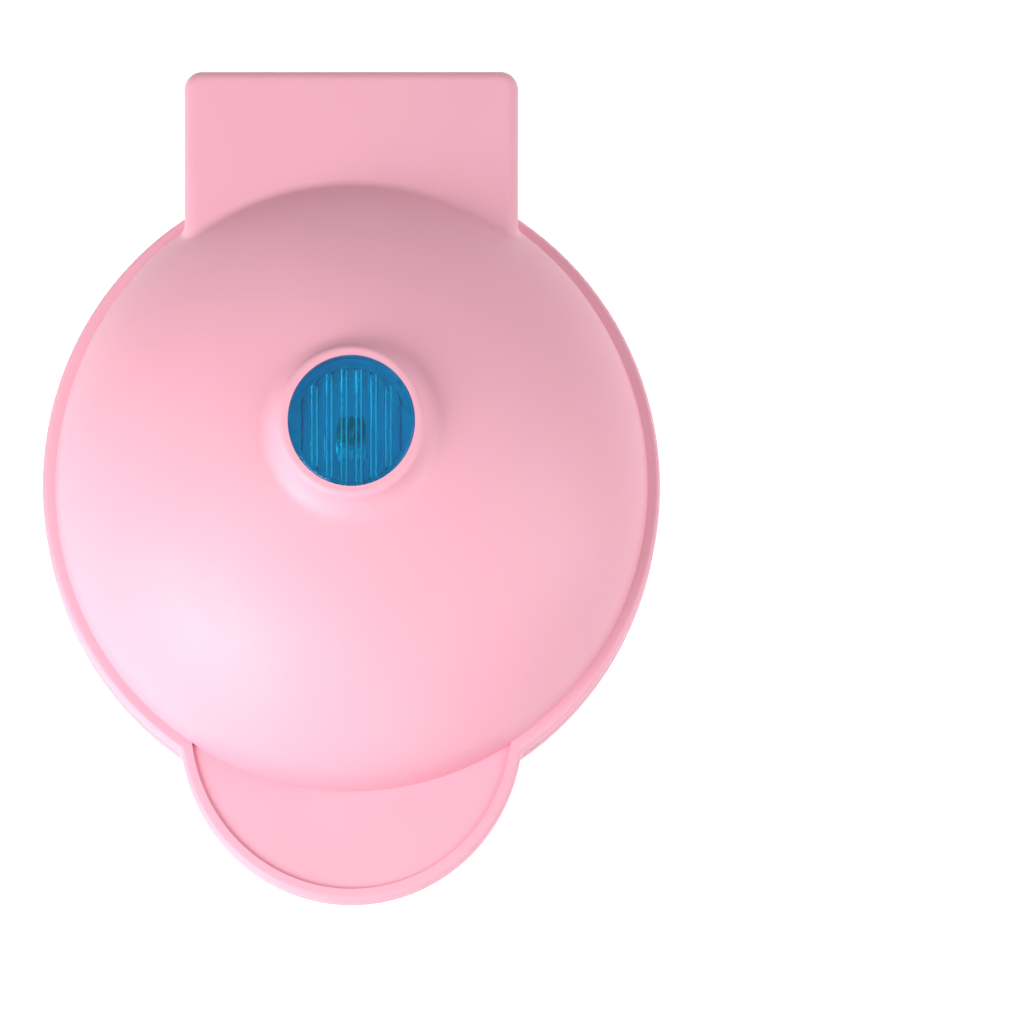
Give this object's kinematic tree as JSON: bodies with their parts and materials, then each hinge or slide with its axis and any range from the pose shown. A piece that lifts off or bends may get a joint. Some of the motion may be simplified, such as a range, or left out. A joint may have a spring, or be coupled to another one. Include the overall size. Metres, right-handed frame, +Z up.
{
  "type": "heart waffle maker",
  "caption": "Small round mains waffle maker: domed pink lid with lens, lifting tab and rear hinge, over a bowl base with a heart-shaped pair of studded cooking plates.",
  "frame": {"origin": "under the middle of the overall box, in the plane that the feet rest on", "axes": "+Z up; -Y towards the lifting tab, +Y towards the hinge and the cord inlet; +X to the right seen from the tab"},
  "size_m": [0.127, 0.1611, 0.071],
  "materials": {
    "shell_pink": "satin-gloss moulded pink plastic",
    "lens_blue": "clear blue plastic, fluted underside",
    "inner_plastic": "white heat-resisting plastic",
    "lamp_glass": "clear glass",
    "bright_wire": "tinned wire",
    "resistor_body": "lacquered",
    "non_stick_plate": "cast, dark non-stick coating",
    "element_sheath": "annealed steel tube",
    "white_ceramic": "white ceramic",
    "shield_sheet": "zinc-plated sheet",
    "steel": "zinc-plated steel",
    "thermostat_body": "brown moulded body",
    "wire_sheath": "white silicone sheath",
    "glass_fibre_sleeve": "braided glass fibre",
    "black_plastic": "black moulded plastic",
    "foot_rubber": "soft black rubber"
  },
  "bodies": {
    "base": {"base_shell": "shell_pink", "base_hinge_cover": "shell_pink", "hinge_cover_screws": "steel", "lower_plate": "non_stick_plate", "lower_plate_screws": "steel", "lower_element": "element_sheath", "lower_element_beads": "white_ceramic", "lower_element_pins": "steel", "lower_heat_shield": "shield_sheet", "lower_shield_screws": "steel", "thermal_fuse": "glass_fibre_sleeve", "fuse_clip": "steel", "fuse_clip_screw": "steel", "terminal_block": "white_ceramic", "base_wires": "wire_sheath", "base_wire_sleeve": "glass_fibre_sleeve", "cord_bush": "black_plastic", "cord_clamp": "black_plastic", "cord_clamp_screws": "steel", "rubber_feet": "foot_rubber"},
    "lid": {"lid_shell": "shell_pink", "indicator_lens": "lens_blue", "lamp_cup": "inner_plastic", "lamp_cup_screws": "steel", "neon_lamp": "lamp_glass", "lamp_leads": "bright_wire", "lamp_resistor": "resistor_body", "upper_plate": "non_stick_plate", "upper_plate_screws": "steel", "upper_element": "element_sheath", "upper_element_beads": "white_ceramic", "upper_element_pins": "steel", "upper_heat_shield": "shield_sheet", "upper_shield_screws": "steel", "thermostat": "thermostat_body", "thermostat_blades": "steel", "thermostat_strap": "steel", "thermostat_strap_screws": "steel", "lid_wires": "wire_sheath", "lid_wire_sleeve": "glass_fibre_sleeve", "hinge_pins": "steel"}
  },
  "joints": [
    {"name": "lid_hinge", "type": "hinge", "parent": "base", "child": "lid", "pos_m": [0, 0.07405, 0.038], "axis": [-1, 0, 0], "range_deg": [0, 100]}
  ]
}
